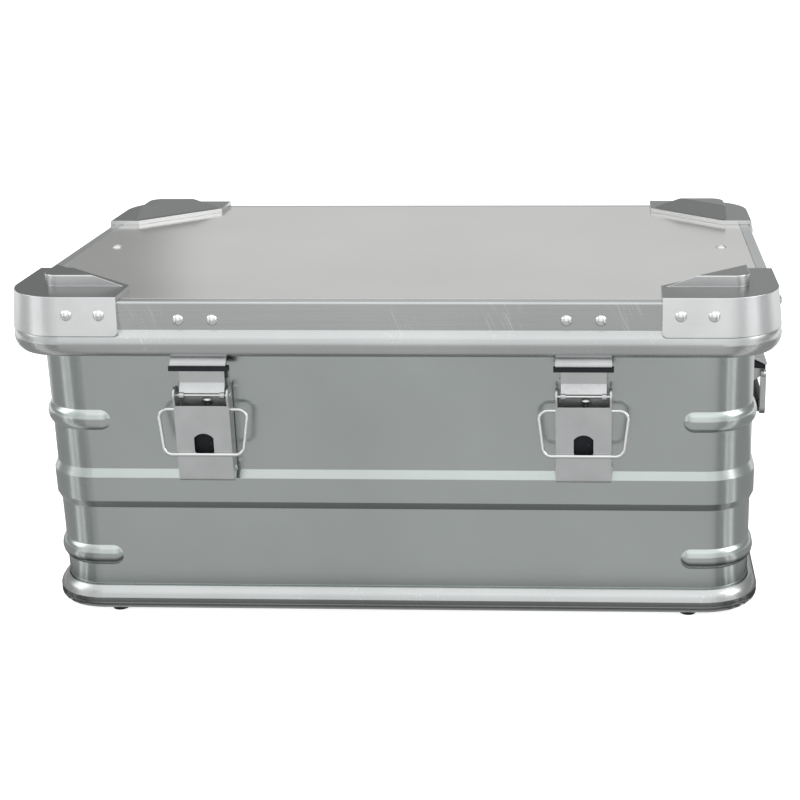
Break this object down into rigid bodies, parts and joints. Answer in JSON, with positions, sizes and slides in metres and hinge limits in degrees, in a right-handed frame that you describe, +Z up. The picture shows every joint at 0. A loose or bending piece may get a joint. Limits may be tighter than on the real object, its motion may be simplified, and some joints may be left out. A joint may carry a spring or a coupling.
{
  "type": "lidded transport case",
  "caption": "Lidded aluminium transport case with a beaded sheet body, base frame, stacking corner caps, snap latches with wire pulls and drop handles at its ends.",
  "frame": {"origin": "centre of the footprint, on the plane the feet stand on", "axes": "+X along the case's long side, to the right seen from the latches; +Y from the latches to the hinges; +Z up"},
  "size_m": [0.6006, 0.4006, 0.2734],
  "materials": {
    "body_sheet": "brushed, satin",
    "lid_sheet": "satin",
    "extrusion": "satin extrusion",
    "corner_cap": "tumbled satin",
    "rivet": "bright",
    "latch_steel": "zinc plated",
    "bright_steel": "bright",
    "black_rubber": "matt",
    "grip_plastic": "matt",
    "seal": "matt sponge",
    "webbing": "woven"
  },
  "bodies": {
    "tub": {"base_frame": "extrusion", "feet": "black_rubber", "handle_bracket_left": "latch_steel", "handle_bracket_right": "latch_steel", "handle_buffer_left": "black_rubber", "handle_buffer_right": "black_rubber", "handle_pin_left": "bright_steel", "handle_pin_right": "bright_steel", "handle_rivets": "rivet", "hinge_leaf_tub_left": "latch_steel", "hinge_leaf_tub_right": "latch_steel", "hinge_pin_left": "bright_steel", "hinge_pin_right": "bright_steel", "hinge_rivets": "rivet", "latch_base_left": "latch_steel", "latch_base_right": "latch_steel", "latch_base_rivets": "rivet", "latch_buffer_left": "black_rubber", "latch_buffer_right": "black_rubber", "latch_pivot_left": "bright_steel", "latch_pivot_right": "bright_steel", "stay_anchor_left": "latch_steel", "stay_anchor_right": "latch_steel", "tub_floor": "body_sheet", "tub_rim": "extrusion", "tub_wall": "body_sheet"},
    "lid": {"lid_panel": "lid_sheet", "lid_frame": "extrusion", "lid_seal": "seal", "cap_rivets": "rivet", "band_rivets": "rivet", "stay_rivets": "rivet", "cap_front_left": "corner_cap", "cap_front_right": "corner_cap", "cap_rear_left": "corner_cap", "cap_rear_right": "corner_cap", "strike_left": "latch_steel", "strike_buffer_left": "black_rubber", "hinge_leaf_lid_left": "latch_steel", "stay_strap_left": "webbing", "strike_right": "latch_steel", "strike_buffer_right": "black_rubber", "hinge_leaf_lid_right": "latch_steel", "stay_strap_right": "webbing"},
    "lever_left": {"latch_lever_left": "latch_steel", "latch_rod_left": "bright_steel"},
    "claw_left": {"latch_claw_left": "latch_steel"},
    "bail_left": {"bail_left": "bright_steel"},
    "handle_left": {"handle_bow_left": "latch_steel", "handle_grip_left": "grip_plastic"},
    "lever_right": {"latch_lever_right": "latch_steel", "latch_rod_right": "bright_steel"},
    "claw_right": {"latch_claw_right": "latch_steel"},
    "bail_right": {"bail_right": "bright_steel"},
    "handle_right": {"handle_bow_right": "latch_steel", "handle_grip_right": "grip_plastic"}
  },
  "joints": [
    {"name": "lid_hinge", "type": "hinge", "parent": "tub", "child": "lid", "pos_m": [0, 0.1935, 0.211], "axis": [-1, 0, 0], "range_deg": [0, 100]},
    {"name": "lever_left_swing", "type": "hinge", "parent": "tub", "child": "lever_left", "pos_m": [-0.1472, -0.1875, 0.125], "axis": [1, 0, 0], "range_deg": [0, 40], "stiffness_Nm_per_rad": 0.3, "springref_deg": -11.46},
    {"name": "claw_left_swing", "type": "hinge", "parent": "lever_left", "child": "claw_left", "pos_m": [-0.1472, -0.1905, 0.1853], "axis": [1, 0, 0], "range_deg": [0, 20], "stiffness_Nm_per_rad": 0.03, "springref_deg": -11.46},
    {"name": "bail_left_swing", "type": "hinge", "parent": "lever_left", "child": "bail_left", "pos_m": [-0.1472, -0.1925, 0.1745], "axis": [-1, 0, 0], "range_deg": [0, 100]},
    {"name": "handle_left_swing", "type": "hinge", "parent": "tub", "child": "handle_left", "pos_m": [-0.2965, 0, 0.166], "axis": [0, 1, 0], "range_deg": [0, 95]},
    {"name": "lever_right_swing", "type": "hinge", "parent": "tub", "child": "lever_right", "pos_m": [0.1472, -0.1875, 0.125], "axis": [1, 0, 0], "range_deg": [0, 40], "stiffness_Nm_per_rad": 0.3, "springref_deg": -11.46},
    {"name": "claw_right_swing", "type": "hinge", "parent": "lever_right", "child": "claw_right", "pos_m": [0.1472, -0.1905, 0.1853], "axis": [1, 0, 0], "range_deg": [0, 20], "stiffness_Nm_per_rad": 0.03, "springref_deg": -11.46},
    {"name": "bail_right_swing", "type": "hinge", "parent": "lever_right", "child": "bail_right", "pos_m": [0.1472, -0.1925, 0.1745], "axis": [-1, 0, 0], "range_deg": [0, 100]},
    {"name": "handle_right_swing", "type": "hinge", "parent": "tub", "child": "handle_right", "pos_m": [0.2965, 0, 0.166], "axis": [0, -1, 0], "range_deg": [0, 95]}
  ]
}
